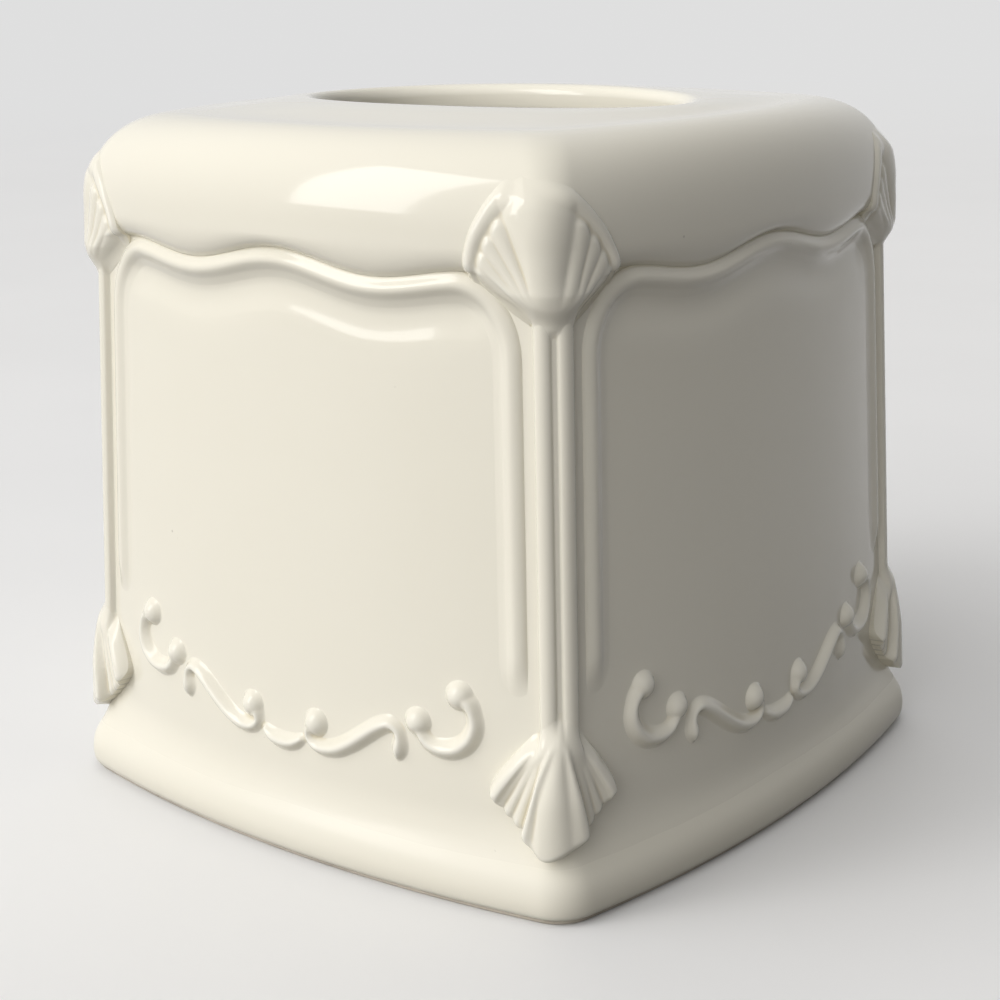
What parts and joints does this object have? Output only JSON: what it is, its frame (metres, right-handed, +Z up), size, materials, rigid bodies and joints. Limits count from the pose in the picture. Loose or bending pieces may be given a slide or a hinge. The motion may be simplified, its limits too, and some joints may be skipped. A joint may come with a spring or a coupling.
{
  "type": "tissue box cover",
  "caption": "Square ceramic cover for a cube carton of tissues, with bowed walls, a rolled foot, an oval opening in a swelling top and applied shell and scroll ornament.",
  "frame": {"origin": "centre of the base, on the surface that the cover stands on", "axes": "+Z up; the long axis of the oval opening lies along X; the faces look along -Y (front), +X (right), +Y (back) and -X (left)"},
  "size_m": [0.1546, 0.1546, 0.15],
  "materials": {
    "glaze": "glossy cream glaze",
    "bare_foot": "wiped, unglazed"
  },
  "bodies": {
    "root": {"foot_rim": "bare_foot", "foot_moulding": "glaze", "wall_shell": "glaze", "top_cover": "glaze", "wave_bead_front": "glaze", "wave_bead_right": "glaze", "wave_bead_back": "glaze", "wave_bead_left": "glaze", "panel_frame_front": "glaze", "panel_frame_right": "glaze", "panel_frame_back": "glaze", "panel_frame_left": "glaze", "corner_reeds_front_right": "glaze", "corner_reeds_back_right": "glaze", "corner_reeds_back_left": "glaze", "corner_reeds_front_left": "glaze", "upper_shell_front_right": "glaze", "upper_shell_back_right": "glaze", "upper_shell_back_left": "glaze", "upper_shell_front_left": "glaze", "lower_shell_front_right": "glaze", "lower_shell_back_right": "glaze", "lower_shell_back_left": "glaze", "lower_shell_front_left": "glaze", "garland_front": "glaze", "garland_right": "glaze", "garland_back": "glaze", "garland_left": "glaze"}
  },
  "joints": []
}
